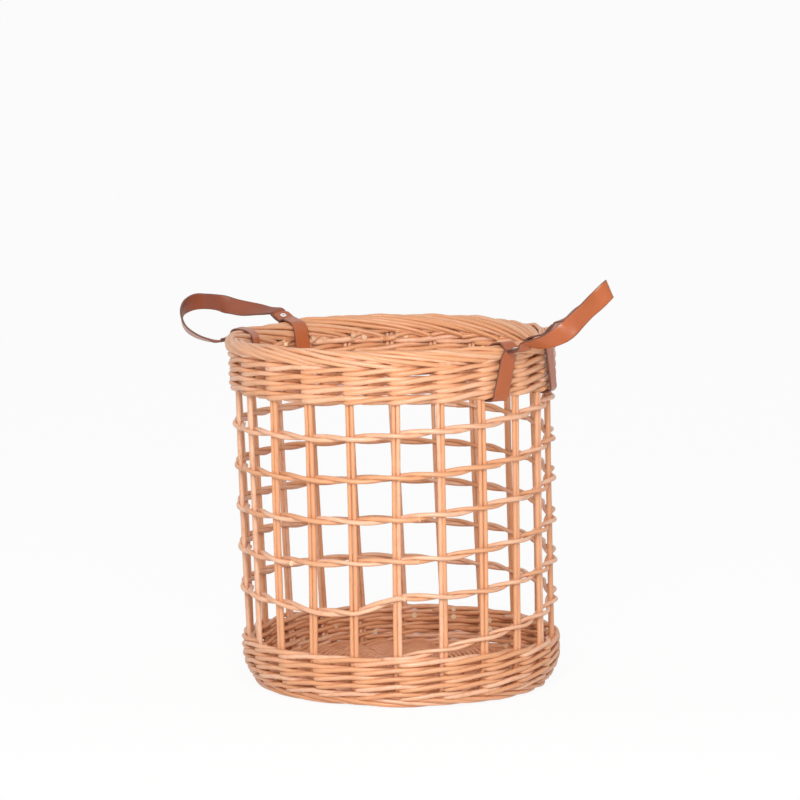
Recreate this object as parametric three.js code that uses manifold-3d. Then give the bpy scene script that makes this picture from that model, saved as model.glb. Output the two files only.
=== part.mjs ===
// An open willow storage basket with two leather strap handles, in millimetres, +Z up.
// The origin is on the floor under the middle of the base, and the handles point along +X and -X.
// Sizes are round the basket's own axis, which leans a little from the foot to the rim.
import * as THREE from 'three';
import { mergeVertices } from 'three/addons/utils/BufferGeometryUtils.js';
import Module from 'manifold-3d';

const wasm = await Module();
wasm.setup();

// Driving dimensions
const RIM_DIAMETER = 360;
const BASKET_HEIGHT = 385;
const BORDER_HEIGHT = 17;
const BORDER_WIDTH = 21;
const TOP_BAND_HEIGHT = 44;
const BOTTOM_BAND_HEIGHT = 43;
const BAND_ROWS = 5;
const ROW_GROOVE = 1.2;
const FOOT_DIAMETER = 323;
const FOOT_WIDTH = 15;
const FOOT_HEIGHT = 12;
const LEAN = 11;
const LEAN_DIRECTION = 212.7;
const BASE_UNDERSIDE = 3;
const BASE_THICKNESS = 17;
const BASE_STICKS = 11;
const BASE_STICK_SIZE = 7;
const STAKE_PAIRS = 22;
const STAKE_DIAMETER = 5;
const BAND_OVERHANG = 5;
const STAKE_FOOT_INSET = 8.5;
const WEAVER_DIAMETER = 5;
const FITCH_DIAMETER = 4.5;
const FITCH_ROUNDS = 5;
const FITCH_PAIRS = 115;
const FITCH_START_PAIR = -3;
const FITCH_STEEP_START = 12;
const FITCH_END_ROOM = 1.5;
const FITCH_SWAY = 4.2;
const FITCH_REAR_RISE = 8.5;
const FITCH_DIP = 0.65;
const STRAP_WIDTH = 20;
const STRAP_THICKNESS = 2;
const STRAP_TAIL = 7.8;
const RIVET_HEAD_DIAMETER = 7;
const RIVET_SHANK_DIAMETER = 4;
const RIVET_BORE_DIAMETER = 1.8;
const RIVET_HEAD_THICKNESS = 0.8;
const CLEARANCE = 0.3;
const FACETS = 44;

// Heights and radii that follow from them
const PITCH = (2 * Math.PI) / STAKE_PAIRS;
const BORDER_UNDERSIDE = BASKET_HEIGHT - BORDER_HEIGHT;
const TOP_BAND_TOP = BORDER_UNDERSIDE - CLEARANCE;
const TOP_BAND_UNDERSIDE = TOP_BAND_TOP - TOP_BAND_HEIGHT;
const BOTTOM_BAND_UNDERSIDE = FOOT_HEIGHT + CLEARANCE;
const BOTTOM_BAND_TOP = BOTTOM_BAND_UNDERSIDE + BOTTOM_BAND_HEIGHT;
const STAKE_TOP = BORDER_UNDERSIDE - CLEARANCE;
const STAKE_FOOT = FOOT_HEIGHT + 4 * CLEARANCE;
const BAND_HALF_WALL = STAKE_DIAMETER / 2 + WEAVER_DIAMETER;
const STAKE_CIRCLE_TOP = RIM_DIAMETER - BORDER_WIDTH + 2 * CLEARANCE;
const STAKE_CIRCLE_LOW = FOOT_DIAMETER + 2 * BAND_OVERHANG;
const RIM_RADIUS = RIM_DIAMETER / 2;
const BORDER_INNER_RADIUS = RIM_RADIUS - BORDER_WIDTH;
const FOOT_RADIUS = FOOT_DIAMETER / 2;
const BASE_TOP = BASE_UNDERSIDE + BASE_THICKNESS;
const FITCH_SWING = STAKE_DIAMETER / 2 + FITCH_DIAMETER / 2 + 4 * CLEARANCE;
const FITCH_CROSSING = FITCH_DIAMETER / 2 + CLEARANCE;

const WILLOW = { color: 0xe8ab7c, roughness: 0.5, metalness: 0 };
const WILLOW_SHADE = { color: 0xc9865a, roughness: 0.6, metalness: 0 };
const LEATHER = { color: 0xb0582c, roughness: 0.45, metalness: 0 };
const STEEL = { color: 0xc9c9cc, roughness: 0.25, metalness: 1 };

const basket = new THREE.Group();

function addPiece(name, geometry, finish, parent = basket) {
  const mesh = new THREE.Mesh(geometry, new THREE.MeshStandardMaterial(finish));
  mesh.name = name;
  parent.add(mesh);
  return mesh;
}

// A path that runs straight from station to station, with a section at each station.
class StationPath extends THREE.Curve {
  constructor(stations) {
    super();
    this.stations = stations;
  }

  getPoint(t) {
    const place = t * (this.stations.length - 1);
    const before = Math.min(Math.floor(place), this.stations.length - 2);
    return this.stations[before].clone().lerp(this.stations[before + 1], place - before);
  }

  getPointAt(u) {
    return this.getPoint(u);
  }

  getTangentAt(u) {
    const at = Math.round(u * (this.stations.length - 1));
    const before = this.stations[Math.max(at - 1, 0)];
    const after = this.stations[Math.min(at + 1, this.stations.length - 1)];
    return after.clone().sub(before).normalize();
  }
}

function sweep(outline, stations) {
  return new THREE.ExtrudeGeometry(new THREE.Shape(outline), {
    steps: stations.length - 1,
    extrudePath: new StationPath(stations),
    bevelEnabled: false,
  });
}

function roundOutline(radius, sides, turn = 0) {
  const outline = [];
  for (let i = 0; i < sides; i += 1) {
    const angle = turn + (2 * Math.PI * i) / sides;
    outline.push(new THREE.Vector2(radius * Math.cos(angle), radius * Math.sin(angle)));
  }
  return outline;
}

// A ring or disc turned about the Z axis from a profile of radius and height.
function turned(profile, facets = FACETS) {
  const points = profile.map(([radius, height]) => new THREE.Vector2(radius, height));
  return new THREE.LatheGeometry(points, facets).rotateX(Math.PI / 2);
}

function toSolid(geometry) {
  const bare = geometry.clone();
  bare.deleteAttribute('normal');
  bare.deleteAttribute('uv');
  const merged = mergeVertices(bare, 1e-4);
  return new wasm.Manifold(new wasm.Mesh({
    numProp: 3,
    vertProperties: new Float32Array(merged.attributes.position.array),
    triVerts: new Uint32Array(merged.index.array),
  }));
}

function toGeometry(solid) {
  const mesh = solid.getMesh();
  const geometry = new THREE.BufferGeometry();
  geometry.setAttribute('position', new THREE.BufferAttribute(new Float32Array(mesh.vertProperties), 3));
  geometry.setIndex(new THREE.BufferAttribute(new Uint32Array(mesh.triVerts), 1));
  geometry.computeVertexNormals();
  return geometry;
}

function cutFrom(geometry, cutters) {
  let solid = toSolid(geometry);
  for (const cutter of cutters) {
    solid = solid.subtract(toSolid(cutter));
  }
  return toGeometry(solid);
}

// The upright stakes stand in pairs on a circle that widens a little towards the rim.
function stakeRadius(height) {
  const share = (height - BOTTOM_BAND_TOP) / (STAKE_TOP - BOTTOM_BAND_TOP);
  return THREE.MathUtils.lerp(STAKE_CIRCLE_LOW, STAKE_CIRCLE_TOP, share) / 2;
}

const STAKE_BEND = [
  { height: STAKE_FOOT, inset: STAKE_FOOT_INSET },
  { height: STAKE_FOOT + BOTTOM_BAND_HEIGHT * 0.28, inset: STAKE_FOOT_INSET * 0.3 },
  { height: STAKE_FOOT + BOTTOM_BAND_HEIGHT * 0.6, inset: 0 },
];

function stakeAxis(footOverrun, topOverrun) {
  const stations = STAKE_BEND.map(({ height, inset }) => (
    new THREE.Vector3(stakeRadius(height) - inset, 0, height)));
  const [first, second] = stations;
  const down = first.clone().sub(second).normalize();
  first.addScaledVector(down, footOverrun);
  const top = STAKE_TOP + topOverrun;
  stations.push(new THREE.Vector3(stakeRadius(top), 0, top));
  return stations;
}

function pairOutline(grow) {
  const radius = STAKE_DIAMETER / 2 + grow;
  const offset = STAKE_DIAMETER / 2;
  const half = [];
  for (const degrees of [-112.5, -67.5, -22.5, 22.5, 67.5, 112.5]) {
    const angle = THREE.MathUtils.degToRad(degrees);
    half.push(new THREE.Vector2(offset + radius * Math.cos(angle), radius * Math.sin(angle)));
  }
  const waist = radius * 0.55;
  return [
    ...half,
    new THREE.Vector2(0, waist),
    ...half.map((point) => new THREE.Vector2(-point.x, -point.y)),
    new THREE.Vector2(0, -waist),
  ];
}

function slotOutline() {
  const halfWidth = STAKE_DIAMETER + CLEARANCE;
  const halfDepth = STAKE_DIAMETER / 2 + CLEARANCE;
  const corner = halfDepth * 0.586;
  return [
    new THREE.Vector2(halfWidth, -halfDepth + corner),
    new THREE.Vector2(halfWidth, halfDepth - corner),
    new THREE.Vector2(halfWidth - corner, halfDepth),
    new THREE.Vector2(-halfWidth + corner, halfDepth),
    new THREE.Vector2(-halfWidth, halfDepth - corner),
    new THREE.Vector2(-halfWidth, -halfDepth + corner),
    new THREE.Vector2(-halfWidth + corner, -halfDepth),
    new THREE.Vector2(halfWidth - corner, -halfDepth),
  ];
}

function pairAngle(index) {
  return (index + 0.5) * PITCH;
}

function makeStakes() {
  const geometry = sweep(pairOutline(0), stakeAxis(0, 0));
  for (let i = 0; i < STAKE_PAIRS; i += 1) {
    const name = `stake_pair_${String(i + 1).padStart(2, '0')}`;
    addPiece(name, geometry, WILLOW).rotation.z = pairAngle(i);
  }
}

function stakeSlots() {
  const slots = [];
  for (let i = 0; i < STAKE_PAIRS; i += 1) {
    slots.push(sweep(slotOutline(), stakeAxis(2, 2)).rotateZ(pairAngle(i)));
  }
  return slots;
}

// A woven band: a ring round the stakes whose outside shows its rows as ridges.
function bandProfile(underside, height, outerAt, innerAt) {
  const row = height / BAND_ROWS;
  const profile = [[innerAt(underside), underside]];
  for (let i = 0; i < BAND_ROWS; i += 1) {
    const low = underside + i * row;
    profile.push([outerAt(low) - ROW_GROOVE, low]);
    profile.push([outerAt(low + row / 4), low + row / 4]);
    profile.push([outerAt(low + (row * 3) / 4), low + (row * 3) / 4]);
  }
  const top = underside + height;
  profile.push([outerAt(top) - ROW_GROOVE, top]);
  profile.push([innerAt(top), top]);
  profile.push([innerAt(underside + height / 2), underside + height / 2]);
  profile.push(profile[0]);
  return profile;
}

function bandOuter(height) {
  return stakeRadius(height) + BAND_HALF_WALL;
}

function bandInner(height) {
  return stakeRadius(height) - BAND_HALF_WALL;
}

// The bottom band draws in towards the foot with the stakes.
function bottomInset(height) {
  const share = 1 - (height - BOTTOM_BAND_UNDERSIDE) / (BOTTOM_BAND_HEIGHT * 0.5);
  return STAKE_FOOT_INSET * Math.max(share, 0) ** 2;
}

function makeBands() {
  const slots = stakeSlots();
  const top = turned(bandProfile(TOP_BAND_UNDERSIDE, TOP_BAND_HEIGHT, bandOuter, bandInner));
  addPiece('top_wale_band', cutFrom(top, slots), WILLOW);
  const outer = (height) => bandOuter(height) - bottomInset(height);
  const inner = (height) => bandInner(height) - bottomInset(height);
  const bottom = turned(bandProfile(BOTTOM_BAND_UNDERSIDE, BOTTOM_BAND_HEIGHT, outer, inner));
  addPiece('bottom_wale_band', cutFrom(bottom, slots), WILLOW);
}

function makeBorder() {
  const low = BORDER_UNDERSIDE;
  const inner = BORDER_INNER_RADIUS;
  const shoulder = BORDER_WIDTH / 4;
  const profile = [
    [inner + shoulder / 2, low],
    [RIM_RADIUS - shoulder / 2, low],
    [RIM_RADIUS, low + shoulder / 2],
    [RIM_RADIUS, BASKET_HEIGHT - shoulder],
    [RIM_RADIUS - shoulder / 3, BASKET_HEIGHT - shoulder / 3],
    [RIM_RADIUS - shoulder, BASKET_HEIGHT],
    [inner + shoulder, BASKET_HEIGHT],
    [inner + shoulder / 3, BASKET_HEIGHT - shoulder / 3],
    [inner, BASKET_HEIGHT - shoulder],
    [inner, low + shoulder / 2],
    [inner + shoulder / 2, low],
  ];
  addPiece('rolled_border', turned(profile), WILLOW);
}

function makeFoot() {
  const outer = FOOT_RADIUS;
  const inner = outer - FOOT_WIDTH;
  const round = FOOT_WIDTH / 4;
  const profile = [
    [inner + round, 0],
    [outer - round, 0],
    [outer, round],
    [outer, FOOT_HEIGHT - round],
    [outer - round, FOOT_HEIGHT],
    [inner + round, FOOT_HEIGHT],
    [inner, FOOT_HEIGHT - round],
    [inner, round],
    [inner + round, 0],
  ];
  addPiece('foot_border', turned(profile), WILLOW);
}

// The base is woven round crossed sticks, which lie in the middle of its thickness.
function crossedSticks(grow, reach) {
  const middle = (BASE_UNDERSIDE + BASE_TOP) / 2;
  let sticks = null;
  for (let i = 0; i < BASE_STICKS; i += 1) {
    const width = BASE_STICK_SIZE + 2 * grow;
    const stick = new THREE.BoxGeometry(2 * reach, width, width).rotateZ(i * PITCH).translate(0, 0, middle);
    sticks = sticks ? sticks.add(toSolid(stick)) : toSolid(stick);
  }
  return sticks;
}

function makeBase() {
  const rim = FOOT_RADIUS - FOOT_WIDTH - CLEARANCE;
  const round = BASE_THICKNESS / 6;
  const profile = [
    [0, BASE_UNDERSIDE],
    [rim - round, BASE_UNDERSIDE],
    [rim, BASE_UNDERSIDE + round],
    [rim, BASE_TOP - round],
    [rim - round, BASE_TOP],
    [0, BASE_TOP],
  ];
  const weave = toSolid(turned(profile)).subtract(crossedSticks(CLEARANCE, rim + 2));
  addPiece('base_weave', toGeometry(weave), WILLOW_SHADE);
  addPiece('base_sticks', toGeometry(crossedSticks(0, rim - CLEARANCE)), WILLOW);
}

// The open wall is crossed by one pair of weavers that climbs round it in a long spiral.
const FITCH_START = new THREE.Vector2(
  FITCH_START_PAIR * PITCH,
  BOTTOM_BAND_TOP + FITCH_DIAMETER / 2 + FITCH_CROSSING + CLEARANCE,
);
const FITCH_END = new THREE.Vector2(
  FITCH_START.x + FITCH_PAIRS * PITCH,
  TOP_BAND_UNDERSIDE - FITCH_DIAMETER / 2 - FITCH_CROSSING - FITCH_END_ROOM,
);
const FITCH_FRONT = -3.5 * PITCH;
const FITCH_EASE = 5 * PITCH;

function fitchSway(angle) {
  const fromFront = angle - FITCH_FRONT;
  const uneven = FITCH_SWAY * Math.sin(fromFront) - FITCH_DIP * Math.cos(2 * fromFront);
  return uneven - FITCH_REAR_RISE * Math.cos(fromFront);
}

function fitchHeight(angle) {
  const gone = angle - FITCH_START.x;
  const sway = fitchSway(angle) - fitchSway(FITCH_START.x);
  const endSway = fitchSway(FITCH_END.x) - fitchSway(FITCH_START.x);
  const steadyRise = FITCH_END.y - FITCH_START.y - endSway - FITCH_STEEP_START;
  const steepStart = FITCH_STEEP_START * (1 - Math.max(1 - gone / FITCH_EASE, 0) ** 2);
  return FITCH_START.y + (steadyRise * gone) / (FITCH_END.x - FITCH_START.x) + sway + steepStart;
}

// Two stations to a gap: one where the rods cross, one where they hold a stake pair between them.
function fitchStations(firstStep, lastStep, side) {
  const stations = [];
  for (let step = firstStep; step <= lastStep; step += 1) {
    const angle = FITCH_START.x + (step * PITCH) / 2;
    const phase = (step * Math.PI) / 2;
    const height = fitchHeight(angle) + side * FITCH_CROSSING * Math.cos(phase);
    const radius = stakeRadius(height) + side * FITCH_SWING * Math.sin(phase);
    stations.push(new THREE.Vector3(radius * Math.cos(angle), radius * Math.sin(angle), height));
  }
  return stations;
}

function makeFitching() {
  const steps = (2 * FITCH_PAIRS) / FITCH_ROUNDS;
  const outline = roundOutline(FITCH_DIAMETER / 2, 5);
  for (let round = 0; round < FITCH_ROUNDS; round += 1) {
    for (const [label, side] of [['a', 1], ['b', -1]]) {
      const stations = fitchStations(round * steps, (round + 1) * steps, side);
      const [last, beforeLast] = [stations.at(-1), stations.at(-2)];
      const back = beforeLast.clone().sub(last).normalize();
      if (round < FITCH_ROUNDS - 1) last.addScaledVector(back, 2 * CLEARANCE);
      addPiece(`fitch_round_${round + 1}${label}`, sweep(outline, stations), WILLOW);
    }
  }
}

// A strap: a flat ribbon through stations, each with a place and the way its width points.
function ribbon(stations, width, thickness) {
  const corners = [];
  stations.forEach(({ place, across }, i) => {
    const before = stations[Math.max(i - 1, 0)].place;
    const after = stations[Math.min(i + 1, stations.length - 1)].place;
    const along = after.clone().sub(before).normalize();
    const side = across.clone().addScaledVector(along, -across.dot(along)).normalize();
    const face = along.clone().cross(side);
    for (const [s, f] of [[-1, -1], [1, -1], [1, 1], [-1, 1]]) {
      corners.push(place.clone()
        .addScaledVector(side, (s * width) / 2)
        .addScaledVector(face, (f * thickness) / 2));
    }
  });
  const index = [0, 2, 1, 0, 3, 2];
  for (let i = 0; i + 1 < stations.length; i += 1) {
    for (let edge = 0; edge < 4; edge += 1) {
      const a = 4 * i + edge;
      const b = 4 * i + ((edge + 1) % 4);
      index.push(a, b, b + 4, a, b + 4, a + 4);
    }
  }
  const end = 4 * (stations.length - 1);
  index.push(end, end + 1, end + 2, end, end + 2, end + 3);
  const geometry = new THREE.BufferGeometry().setFromPoints(corners);
  geometry.setIndex(index);
  geometry.computeVertexNormals();
  return geometry;
}

const UP = new THREE.Vector3(0, 0, 1);

// Places on a handle are given outwards from the rim, in degrees of the rim from the handle's middle,
// and upwards from the rim's top. Each end of a strap has its rivet, the slope at which the strap
// leaves it, the degrees that its loop drifts round the rim on its way down, and the room that the
// grip needs to swing past the loop. Its loop has stations between the border's top and the rivet,
// and between the border's outside and the rivet, as places out from and above the rim. A grip
// station is a place and the way the strap's width points there.
const STRAP_OUTSIDE = STRAP_THICKNESS / 2 + 3 * CLEARANCE;
const HANDLES = {
  right: {
    side: 1,
    near: {
      rivet: [8.3, -13.2, -7],
      slope: 10,
      drift: -5.8,
      swingRoom: 1.2,
      over: [[-4, 2.2]],
      outside: [[STRAP_OUTSIDE, -17]],
    },
    far: {
      rivet: [5, 9.8, 7.5],
      slope: 48,
      drift: 4.6,
      swingRoom: 0.9,
      over: [],
      outside: [[STRAP_OUTSIDE, -3.5]],
    },
    grip: [
      [[17, -14.3, -1], [0.14, 0.96, -0.24]],
      [[30.5, -14.2, 1.5], [0.07, 0.83, -0.55]],
      [[42.5, -13.7, 5], [0.1, 0.73, -0.68]],
      [[52, -12.7, 9.5], [0.26, 0.56, -0.79]],
      [[62, -11.3, 16.5], [0.59, 0.26, -0.77]],
      [[72, -9.3, 28], [0.43, 0.56, -0.71]],
      [[79.5, -6.5, 38.5], [0.32, 0.54, -0.78]],
      [[84.5, -2.5, 47.5], [0.53, 0.38, -0.76]],
      [[91, 1.5, 58.5], [0.32, 0.2, -0.93]],
      [[75, 5.5, 49.5], [0.48, -0.08, -0.87]],
      [[48.5, 9.8, 33], [0.22, -0.46, -0.86]],
      [[29, 11.8, 27], [0.09, -0.85, -0.52]],
      [[18.5, 10.8, 20], [0.08, -0.97, -0.22]],
    ],
  },
  left: {
    side: -1,
    near: {
      rivet: [7.97, -14.48, -14],
      slope: -14,
      drift: 0,
      swingRoom: 2,
      over: [[2.8, -8], [2.6, -3], [0.8, 1.2], [-3, 2.4]],
      outside: [[STRAP_OUTSIDE, -18.5]],
    },
    far: {
      rivet: [7, 17, 1],
      slope: 25,
      drift: -1.6,
      swingRoom: 0.9,
      over: [[-4, 2.2]],
      outside: [[STRAP_OUTSIDE, -10]],
    },
    grip: [
      [[19, -15.9, -17], [0.01, 0.99, -0.17]],
      [[33, -15.2, -16], [-0.17, 0.9, -0.39]],
      [[48, -13.7, -13.5], [-0.23, 0.79, -0.57]],
      [[64.5, -10.8, -10], [-0.22, 0.63, -0.74]],
      [[80.5, -6.8, -5], [-0.08, 0.42, -0.91]],
      [[99, 0, 2.5], [0.11, 0.23, -0.97]],
      [[112, 8, 9.5], [0.29, 0.17, -0.94]],
      [[110, 13.5, 13.5], [0.22, 0.23, -0.95]],
      [[101.5, 16.5, 13.5], [0.25, 0.34, -0.91]],
      [[88.5, 17.6, 12.5], [0.16, 0.26, -0.95]],
      [[70.5, 18, 9.5], [0.1, -0.54, -0.83]],
      [[54, 18, 7.5], [0.05, -0.65, -0.76]],
      [[35, 18, 7], [0.02, -0.85, -0.53]],
      [[23, 18, 6.5], [0.1, -0.94, -0.33]],
    ],
  },
};
const GRIP_ROOT = 2;
const LUG_ROOT = 1.5;

function byTheRim(side, [out, degrees, up]) {
  const along = RIM_RADIUS * THREE.MathUtils.degToRad(degrees);
  return new THREE.Vector3(side * (RIM_RADIUS + out), along, BASKET_HEIGHT + up);
}

function onTheRim(side, [out, degrees, up]) {
  const angle = THREE.MathUtils.degToRad(degrees);
  const radius = RIM_RADIUS + out;
  return new THREE.Vector3(side * radius * Math.cos(angle), radius * Math.sin(angle), BASKET_HEIGHT + up);
}

// The directions at a rivet: across the strap, outwards along it, and square to both layers.
function lugFrame(side, { rivet, slope }) {
  const centre = onTheRim(side, rivet);
  const level = new THREE.Vector3(centre.x, centre.y, 0).normalize();
  const across = UP.clone().cross(level);
  const rise = THREE.MathUtils.degToRad(slope);
  const along = level.clone().multiplyScalar(Math.cos(rise)).addScaledVector(UP, Math.sin(rise));
  const upper = UP.clone().multiplyScalar(Math.cos(rise)).addScaledVector(level, -Math.sin(rise));
  return { centre, across, along, upper };
}

function onRing(radius, angle, height) {
  return new THREE.Vector3(radius * Math.cos(angle), radius * Math.sin(angle), height);
}

// A strap's stations are smoothed and sampled along one curve, its width turning with them.
function smoothed(stations, perGap) {
  const places = new THREE.CatmullRomCurve3(stations.map(({ place }) => place), false, 'centripetal');
  const ways = new THREE.CatmullRomCurve3(stations.map(({ across }) => across), false, 'centripetal');
  const steps = perGap * (stations.length - 1);
  const sampled = [];
  for (let i = 0; i <= steps; i += 1) {
    sampled.push({ place: places.getPoint(i / steps), across: ways.getPoint(i / steps) });
  }
  return sampled;
}

// The loop leaves the rivet, goes in over the border, down inside, out under the band and up outside.
// It drifts to one side on its way down, into a gap between stakes.
function loopStations(side, fixing) {
  const { centre, across, along, upper } = lugFrame(side, fixing);
  const topAngle = Math.atan2(centre.y, centre.x);
  const lowAngle = topAngle + THREE.MathUtils.degToRad(fixing.drift);
  const layerOffset = STRAP_THICKNESS / 2 + CLEARANCE / 2;
  const rivetEdge = RIVET_HEAD_DIAMETER / 2;
  const layer = (way, distance) => ({
    place: centre.clone().addScaledVector(along, distance).addScaledVector(upper, way * layerOffset),
    across,
  });
  const under = TOP_BAND_UNDERSIDE - STRAP_THICKNESS / 2 - 2 * CLEARANCE;
  const drifted = ([radius, height]) => {
    const share = (BASKET_HEIGHT - height) / (BASKET_HEIGHT - under);
    const angle = THREE.MathUtils.lerp(topAngle, lowAngle, THREE.MathUtils.clamp(share, 0, 1));
    const way = new THREE.Vector3(-Math.sin(angle), Math.cos(angle), 0);
    return { place: onRing(radius, angle, height), across: way };
  };
  const high = ([out, up]) => drifted([RIM_RADIUS + out, BASKET_HEIGHT + up]);

  const inside = -BORDER_WIDTH - STRAP_THICKNESS / 2 - 5 * CLEARANCE;
  const above = STRAP_THICKNESS / 2 + 4 * CLEARANCE;
  const overBorder = [
    ...fixing.over,
    [inside + BORDER_WIDTH * 0.67, above],
    [inside + BORDER_WIDTH * 0.24, above - 1],
    [inside + 1, above - BORDER_WIDTH * 0.24],
    [inside, above - BORDER_HEIGHT * 0.7],
  ];
  const innerRadius = RIM_RADIUS + inside;
  const outerRadius = RIM_RADIUS + STRAP_OUTSIDE;
  const roundBand = [
    [innerRadius + 0.5, under + 8],
    [innerRadius + 1.5, under + 3],
    [innerRadius + 4.5, under + 0.4],
    [innerRadius + 9, under],
    [outerRadius - 8, under],
    [outerRadius - 3, under + 0.8],
    [outerRadius - 0.5, under + 4],
    [outerRadius, under + 9],
  ];
  return [
    layer(1, STRAP_TAIL),
    layer(1, 0),
    layer(1, -rivetEdge),
    layer(1, -rivetEdge - LUG_ROOT),
    ...overBorder.map(high),
    ...roundBand.map(drifted),
    high([STRAP_OUTSIDE, -BORDER_HEIGHT - 6]),
    ...fixing.outside.map(high),
    layer(-1, -rivetEdge - LUG_ROOT),
    layer(-1, -rivetEdge),
    layer(-1, 0),
    layer(-1, STRAP_TAIL),
  ];
}

function gripStations({ side, near, far, grip }) {
  const root = (fixing, steps, turn) => {
    const { centre, along, across } = lugFrame(side, fixing);
    const distance = STRAP_TAIL + fixing.swingRoom + steps * GRIP_ROOT;
    return {
      place: centre.addScaledVector(along, distance),
      across: across.multiplyScalar(turn),
    };
  };
  return smoothed([
    ...[0, 1, 2].map((steps) => root(near, steps, side)),
    ...grip.map(([place, [x, y, z]]) => ({
      place: byTheRim(side, place),
      across: new THREE.Vector3(side * x, y, z),
    })),
    ...[2, 1, 0].map((steps) => root(far, steps, -side)),
  ], 2);
}

function rivetHole() {
  const length = 6 * STRAP_THICKNESS;
  const radius = RIVET_SHANK_DIAMETER / 2 + CLEARANCE;
  return new THREE.CylinderGeometry(radius, radius, length, 10).rotateX(Math.PI / 2);
}

function rivetGeometry() {
  const bore = RIVET_BORE_DIAMETER / 2;
  const shank = RIVET_SHANK_DIAMETER / 2;
  const head = RIVET_HEAD_DIAMETER / 2;
  const grip = STRAP_THICKNESS + CLEARANCE / 2 + CLEARANCE;
  const face = grip + RIVET_HEAD_THICKNESS;
  return turned([
    [bore, -face],
    [head - 0.4, -face],
    [head, -grip - 0.3],
    [head, -grip],
    [shank, -grip],
    [shank, grip],
    [head, grip],
    [head, grip + 0.3],
    [head - 0.4, face],
    [bore, face],
    [bore, -face],
  ], 10);
}

function facing(geometry, place, direction) {
  const turn = new THREE.Quaternion().setFromUnitVectors(UP, direction);
  return geometry.applyQuaternion(turn).translate(place.x, place.y, place.z);
}

function makeHandle(name, handle) {
  for (const end of ['near', 'far']) {
    const { centre, upper } = lugFrame(handle.side, handle[end]);
    const stations = smoothed(loopStations(handle.side, handle[end]), 2);
    const loop = ribbon(stations, STRAP_WIDTH, STRAP_THICKNESS);
    addPiece(`${name}_${end}_strap_loop`, cutFrom(loop, [facing(rivetHole(), centre, upper)]), LEATHER);
    const mesh = addPiece(`${name}_${end}_rivet`, rivetGeometry(), STEEL);
    mesh.position.copy(centre);
    mesh.quaternion.setFromUnitVectors(UP, upper);
  }
  addPiece(`${name}_grip_strap`, ribbon(gripStations(handle), STRAP_WIDTH, STRAP_THICKNESS), LEATHER);
}

// The basket leans: each level is shifted sideways in proportion to its height, and stays level.
function leanOver() {
  const direction = THREE.MathUtils.degToRad(LEAN_DIRECTION);
  const shift = LEAN / BASKET_HEIGHT;
  const lean = new THREE.Matrix4().set(
    1, 0, shift * Math.cos(direction), 0,
    0, 1, shift * Math.sin(direction), 0,
    0, 0, 1, 0,
    0, 0, 0, 1,
  );
  for (const mesh of basket.children) {
    mesh.updateMatrix();
    mesh.geometry = mesh.geometry.clone().applyMatrix4(mesh.matrix).applyMatrix4(lean);
    mesh.position.set(0, 0, 0);
    mesh.rotation.set(0, 0, 0);
  }
}

makeBase();
makeFoot();
makeBands();
makeStakes();
makeFitching();
makeBorder();
makeHandle('right', HANDLES.right);
makeHandle('left', HANDLES.left);
leanOver();

export default basket;
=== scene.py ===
import random
from math import atan2, cos, pi, radians, sin

import bpy
from mathutils import Euler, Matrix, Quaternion, Vector


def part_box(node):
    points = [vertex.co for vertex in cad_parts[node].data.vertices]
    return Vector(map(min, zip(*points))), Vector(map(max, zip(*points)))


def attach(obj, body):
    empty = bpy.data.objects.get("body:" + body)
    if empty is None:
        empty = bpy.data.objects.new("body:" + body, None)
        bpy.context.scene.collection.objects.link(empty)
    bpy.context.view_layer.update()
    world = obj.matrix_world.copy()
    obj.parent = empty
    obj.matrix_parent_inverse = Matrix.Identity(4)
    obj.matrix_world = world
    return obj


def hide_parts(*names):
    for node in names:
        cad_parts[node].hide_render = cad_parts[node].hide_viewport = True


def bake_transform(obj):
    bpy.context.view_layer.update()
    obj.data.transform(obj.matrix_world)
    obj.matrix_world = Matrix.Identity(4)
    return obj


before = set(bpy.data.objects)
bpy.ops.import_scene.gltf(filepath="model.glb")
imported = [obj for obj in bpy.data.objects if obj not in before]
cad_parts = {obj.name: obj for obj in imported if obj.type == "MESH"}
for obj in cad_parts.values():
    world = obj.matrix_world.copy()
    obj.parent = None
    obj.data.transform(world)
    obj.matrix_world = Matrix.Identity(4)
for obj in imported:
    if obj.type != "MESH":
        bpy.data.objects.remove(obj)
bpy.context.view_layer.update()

# Base sticks
# Eleven willow sticks cross under the middle of the base, six one way and five the other, and fan
# out into 22 spokes. They are thick peeled rods, and the base is woven round them.
STICK_RADIUS = 0.0035
STICK_SPACING = 0.0064
STICK_REACH = 0.1452
STICK_STRAIGHT = 0.016
STICK_FANNING = 0.03
STICK_STEPS = 12
STICK_GROUPS = [(6, 2.5), (5, 8)]
STICK_HEIGHT = (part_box("base_sticks")[0].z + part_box("base_sticks")[1].z) / 2
PAIR_COUNT = 22
PITCH = 2 * pi / PAIR_COUNT
BASKET_HEIGHT = 0.385
RIM_SHIFT = 0.011
LEAN_DIRECTION = radians(212.7)
PEELED_LIGHT = (0.83, 0.49, 0.32, 1)
PEELED_TAN = (0.72, 0.345, 0.17, 1)
PEELED_BROWN = (0.4, 0.14, 0.052, 1)


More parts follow.
